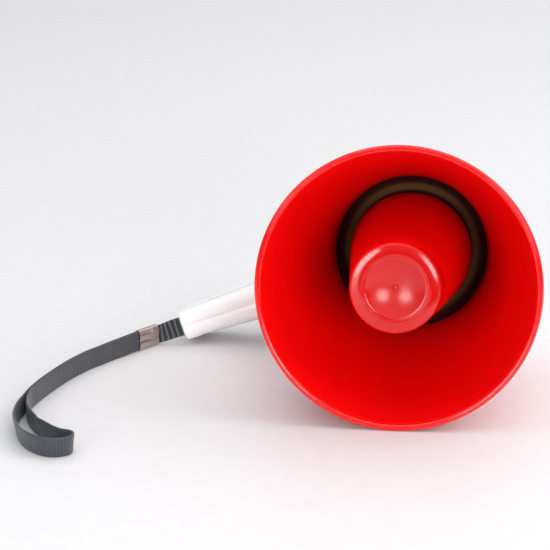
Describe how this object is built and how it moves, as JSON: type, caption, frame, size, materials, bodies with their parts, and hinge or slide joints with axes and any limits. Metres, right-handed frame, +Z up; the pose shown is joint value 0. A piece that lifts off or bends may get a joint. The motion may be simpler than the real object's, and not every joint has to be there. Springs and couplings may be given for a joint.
{
  "type": "handheld megaphone",
  "caption": "Compact handheld megaphone with a red re-entrant horn, a white housing with an integral pistol grip and trigger, rear controls and a webbing wrist strap.",
  "frame": {"origin": "the centre of the footprint without the wrist strap, on the floor the megaphone lies on", "axes": "+Z up, the horn's mouth faces -Y and leans 6.7 degrees back, the handle points to -X and down to the floor"},
  "size_m": [0.2929, 0.3222, 0.1589],
  "materials": {
    "red_bell": "glossy red",
    "black_plastic": "satin black",
    "white_plastic": "satin white",
    "red_plastic": "satin red",
    "gasket_rubber": "matt",
    "dome_film": "translucent amber film",
    "coil_copper": "lacquered winding",
    "plated_steel": "zinc plated",
    "ferrite": "dull dark grey",
    "screw_steel": "zinc plated",
    "nickel": "nickel plated",
    "knob_black": "satin black",
    "board_green": "solder mask",
    "chip_black": "moulded",
    "sink_aluminium": "extruded",
    "capacitor_blue": "sleeve",
    "cell_sleeve": "printed sleeve",
    "wire_red": "insulated",
    "wire_black": "insulated",
    "wire_grey": "insulated",
    "webbing": "woven nylon"
  },
  "bodies": {
    "megaphone": {"bell": "red_bell", "reflector": "red_bell", "throat_tube": "black_plastic", "horn_base": "black_plastic", "driver_gasket": "gasket_rubber", "driver_surround": "dome_film", "driver_frame": "plated_steel", "front_plate": "plated_steel", "ring_magnet": "ferrite", "yoke": "plated_steel", "driver_screws": "screw_steel", "housing_left": "white_plastic", "housing_right": "white_plastic", "housing_screws": "screw_steel", "rear_cover": "white_plastic", "cover_screws": "screw_steel", "mouth_ring": "gasket_rubber", "mic_grille": "knob_black", "mic_holder": "gasket_rubber", "mic_capsule": "plated_steel", "volume_pot": "plated_steel", "mode_switch": "knob_black", "circuit_board": "board_green", "board_screws": "screw_steel", "amplifier_chip": "chip_black", "heat_sink": "sink_aluminium", "capacitors": "capacitor_blue", "battery_tray": "knob_black", "cell_1": "cell_sleeve", "cell_2": "cell_sleeve", "cell_3": "cell_sleeve", "cell_4": "cell_sleeve", "battery_contacts": "nickel", "battery_springs": "nickel", "door_pin": "screw_steel", "trigger_pin": "screw_steel", "trigger_spring": "screw_steel", "trigger_switch": "chip_black", "driver_leads": "wire_red", "battery_leads": "wire_black", "trigger_leads": "wire_grey", "mic_lead": "wire_grey", "strap_pin": "screw_steel", "strap_tab": "webbing", "strap_crimp": "nickel", "strap_loop": "webbing"},
    "trigger": {"trigger": "red_plastic"},
    "plunger": {"switch_plunger": "white_plastic"},
    "knob": {"volume_knob": "knob_black", "volume_shaft": "screw_steel"},
    "slider": {"mode_slider": "red_plastic"},
    "door": {"battery_door": "white_plastic"},
    "diaphragm": {"driver_dome": "dome_film", "voice_coil": "coil_copper"}
  },
  "joints": [
    {"name": "trigger_pivot", "type": "hinge", "parent": "megaphone", "child": "trigger", "pos_m": [-0.0268, 0.02727, 0.04078], "axis": [0.3412, -0.1103, -0.9335], "range_deg": [0, 7], "stiffness_Nm_per_rad": 0.6, "springref_deg": -3.44, "deforming": ["trigger_spring"]},
    {"name": "plunger_slide", "type": "slide", "parent": "megaphone", "child": "plunger", "axis": [0, 0.9931, -0.1173], "range_m": [0, 0.0015]},
    {"name": "volume_turn", "type": "hinge", "parent": "megaphone", "child": "knob", "pos_m": [0.02035, 0.12786, 0.08255], "axis": [0, 0.9931, -0.1173], "range_deg": [0, 270]},
    {"name": "mode_slide", "type": "slide", "parent": "megaphone", "child": "slider", "axis": [0.94, 0.04, 0.3388], "range_m": [-0.003, 0.003]},
    {"name": "battery_door_hinge", "type": "hinge", "parent": "megaphone", "child": "door", "pos_m": [0.05103, 0.08381, 0.10601], "axis": [0, -0.9931, 0.1173], "range_deg": [0, 95]},
    {"name": "diaphragm_slide", "type": "slide", "parent": "megaphone", "child": "diaphragm", "axis": [0, 0.9931, -0.1173], "range_m": [-0.0003, 0.0003], "stiffness_N_per_m": 400, "deforming": ["driver_surround"]}
  ],
  "couplings": [
    {"joint": "plunger_slide", "follows": "trigger_pivot", "m_per_rad": 0.0115}
  ]
}
